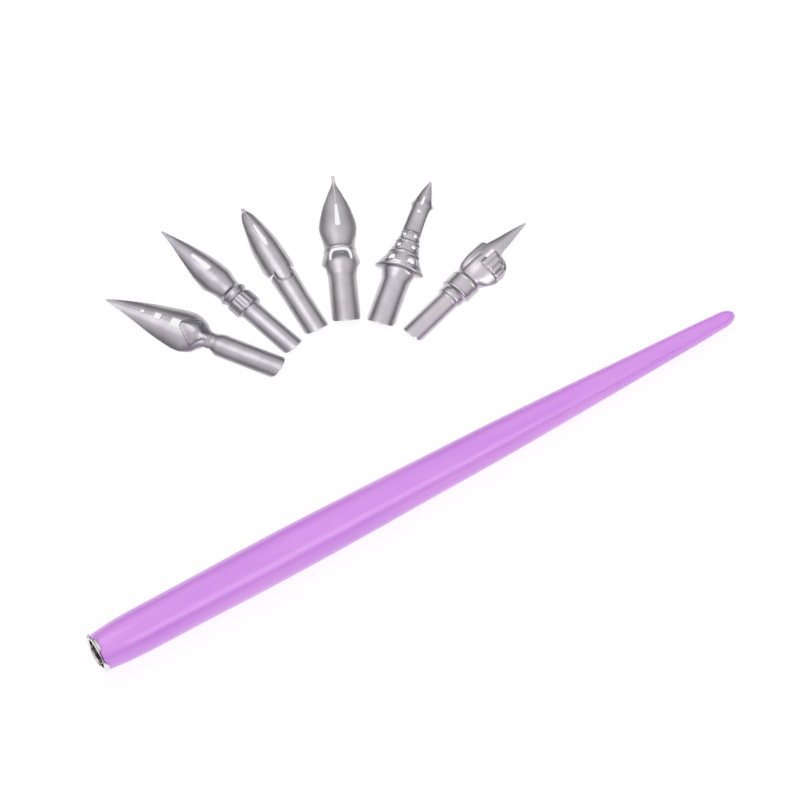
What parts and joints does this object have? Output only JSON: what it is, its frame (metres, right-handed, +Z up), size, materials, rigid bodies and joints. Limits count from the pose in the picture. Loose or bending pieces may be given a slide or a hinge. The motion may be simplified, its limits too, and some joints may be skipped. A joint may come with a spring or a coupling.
{
  "type": "dip pen set",
  "caption": "Turned nib holder with a sprung steel socket at its mouth, lying beside a fan of loose pressed-steel writing nibs of differing outlines.",
  "frame": {"origin": "centre of the set's bounding box in X and Y, on the surface the holder and nibs lie on", "axes": "+X along the holder from its mouth to its tail, +Y from the holder towards the nibs, +Z up from the surface"},
  "size_m": [0.1644, 0.093, 0.0106],
  "materials": {
    "lacquered_wood": "satin purple lacquer over turned wood",
    "plated_socket": "bright nickel plate",
    "spring_steel": "bright spring steel",
    "spear_nib_steel": "satin pressed steel with polished edges",
    "fluted_collar_nib_steel": "satin pressed steel with polished edges",
    "tubular_nib_steel": "satin pressed steel with polished edges",
    "spade_nib_steel": "satin pressed steel with polished edges",
    "tower_nib_steel": "satin pressed steel with polished edges",
    "hand_nib_steel": "satin pressed steel with polished edges"
  },
  "bodies": {
    "holder": {"holder_shaft": "lacquered_wood", "socket_sleeve": "plated_socket", "spring_hub": "spring_steel"},
    "grip_leaf_1": {"grip_leaf_1": "spring_steel"},
    "grip_leaf_2": {"grip_leaf_2": "spring_steel"},
    "grip_leaf_3": {"grip_leaf_3": "spring_steel"},
    "grip_leaf_4": {"grip_leaf_4": "spring_steel"},
    "spear_nib": {"spear_nib": "spear_nib_steel"},
    "fluted_collar_nib": {"fluted_collar_nib": "fluted_collar_nib_steel"},
    "tubular_nib": {"tubular_nib": "tubular_nib_steel"},
    "spade_nib": {"spade_nib": "spade_nib_steel"},
    "tower_nib": {"tower_nib": "tower_nib_steel"},
    "hand_nib": {"hand_nib": "hand_nib_steel"}
  },
  "joints": [
    {"name": "grip_leaf_1_flex", "type": "hinge", "parent": "holder", "child": "grip_leaf_1", "pos_m": [-0.0724, -0.03947, 0.00766], "axis": [0.0117, -0.7071, 0.707], "range_deg": [0, 4], "stiffness_Nm_per_rad": 0.3},
    {"name": "grip_leaf_2_flex", "type": "hinge", "parent": "holder", "child": "grip_leaf_2", "pos_m": [-0.07246, -0.03947, 0.00377], "axis": [0.0117, 0.7071, 0.707], "range_deg": [0, 4], "stiffness_Nm_per_rad": 0.3},
    {"name": "grip_leaf_3_flex", "type": "hinge", "parent": "holder", "child": "grip_leaf_3", "pos_m": [-0.07246, -0.04335, 0.00377], "axis": [-0.0117, 0.7071, -0.707], "range_deg": [0, 4], "stiffness_Nm_per_rad": 0.3},
    {"name": "grip_leaf_4_flex", "type": "hinge", "parent": "holder", "child": "grip_leaf_4", "pos_m": [-0.0724, -0.04335, 0.00766], "axis": [-0.0117, -0.7071, -0.707], "range_deg": [0, 4], "stiffness_Nm_per_rad": 0.3},
    {"name": "spear_nib_lift", "type": "slide", "parent": "holder", "child": "spear_nib", "axis": [0, 0, 1], "range_m": [0, 0.05]},
    {"name": "fluted_collar_nib_lift", "type": "slide", "parent": "holder", "child": "fluted_collar_nib", "axis": [0, 0, 1], "range_m": [0, 0.05]},
    {"name": "tubular_nib_lift", "type": "slide", "parent": "holder", "child": "tubular_nib", "axis": [0, 0, 1], "range_m": [0, 0.05]},
    {"name": "spade_nib_lift", "type": "slide", "parent": "holder", "child": "spade_nib", "axis": [0, 0, 1], "range_m": [0, 0.05]},
    {"name": "tower_nib_lift", "type": "slide", "parent": "holder", "child": "tower_nib", "axis": [0, 0, 1], "range_m": [0, 0.05]},
    {"name": "hand_nib_lift", "type": "slide", "parent": "holder", "child": "hand_nib", "axis": [0, 0, 1], "range_m": [0, 0.05]}
  ]
}
